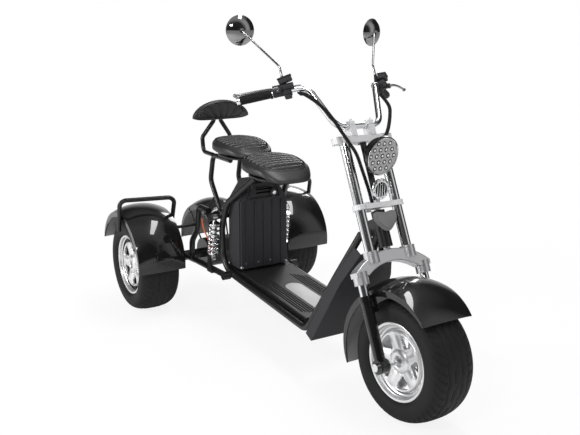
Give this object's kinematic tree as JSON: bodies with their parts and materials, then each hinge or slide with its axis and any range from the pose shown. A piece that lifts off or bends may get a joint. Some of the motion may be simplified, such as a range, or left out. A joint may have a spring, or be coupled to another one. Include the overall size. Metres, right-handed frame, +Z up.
{
  "type": "electric trike",
  "caption": "Fat-tyred electric trike with one steered front wheel, tall handlebar, floorboard, battery case and two seats.",
  "frame": {"origin": "on the ground, halfway between the front and rear axles, on the middle plane", "axes": "+X forward, +Y to the rider's left, +Z up"},
  "size_m": [2.1294, 1.1366, 1.4872],
  "materials": {
    "tyre": "matt ribbed black tyre rubber",
    "polished_wheel": "polished cast aluminium",
    "chrome": "bright chrome plate",
    "satin_aluminium": "satin cast aluminium",
    "silver_paint": "silver paint on the yokes",
    "gloss_black": "high gloss black",
    "frame_black": "semi-gloss black paint",
    "black_plastic": "grained black plastic",
    "grey_plastic": "grey moulded plastic",
    "black_rubber": "moulded black rubber",
    "silver_plate": "brushed silver tread plate",
    "leatherette": "stitched black leatherette",
    "steel": "ground steel",
    "lamp_lens": "clear lens over round emitters",
    "mirror_glass": "silvered mirror glass"
  },
  "bodies": {
    "chassis": {"backrest_frame": "frame_black", "backrest_pad": "leatherette", "battery_case": "black_plastic", "battery_cover": "black_plastic", "driver_seat": "leatherette", "floor_mat": "black_rubber", "floor_pad": "silver_plate", "floor_pan": "black_plastic", "guard_tube_left": "frame_black", "guard_tube_right": "frame_black", "head_cover": "grey_plastic", "head_frame": "frame_black", "leg_shield": "black_plastic", "passenger_seat": "leatherette", "rear_fender_left": "gloss_black", "rear_fender_right": "gloss_black", "rear_frame": "frame_black", "seat_pans": "frame_black", "shock_left": "chrome", "shock_right": "chrome", "side_rail_left": "frame_black", "side_rail_right": "frame_black", "swing_arm": "frame_black"},
    "steering": {"cable_looms": "black_rubber", "controls_left": "black_plastic", "controls_right": "black_plastic", "fork_bridge": "satin_aluminium", "fork_tubes": "chrome", "front_axle": "chrome", "front_caliper": "frame_black", "front_fender": "gloss_black", "grips": "black_rubber", "handlebar": "chrome", "headlight": "black_plastic", "headlight_lens": "lamp_lens", "horn": "chrome", "light_plate": "frame_black", "mid_clamp": "silver_paint", "mirror_glasses": "mirror_glass", "mirror_left": "chrome", "mirror_right": "chrome", "sliders": "frame_black", "top_crown": "chrome"},
    "front_wheel": {"front_tyre": "tyre", "front_rim": "polished_wheel", "front_disc": "steel"},
    "rear_left_wheel": {"rear_left_tyre": "tyre", "rear_left_rim": "polished_wheel"},
    "rear_right_wheel": {"rear_right_tyre": "tyre", "rear_right_rim": "polished_wheel"}
  },
  "joints": [
    {"name": "steering_turn", "type": "hinge", "parent": "chassis", "child": "steering", "pos_m": [0.824, 0, 0.2385], "axis": [-0.4258, 0, 0.9048], "range_deg": [-29.5, 22.5]},
    {"name": "front_wheel_spin", "type": "hinge", "parent": "steering", "child": "front_wheel", "pos_m": [0.824, 0, 0.2385], "axis": [-0.0552, 0.9981, -0.026], "continuous": true},
    {"name": "rear_left_spin", "type": "hinge", "parent": "chassis", "child": "rear_left_wheel", "pos_m": [-0.824, 0.416, 0.2385], "axis": [0, 1, 0], "continuous": true},
    {"name": "rear_right_spin", "type": "hinge", "parent": "chassis", "child": "rear_right_wheel", "pos_m": [-0.824, -0.416, 0.2385], "axis": [0, 1, 0], "continuous": true}
  ]
}
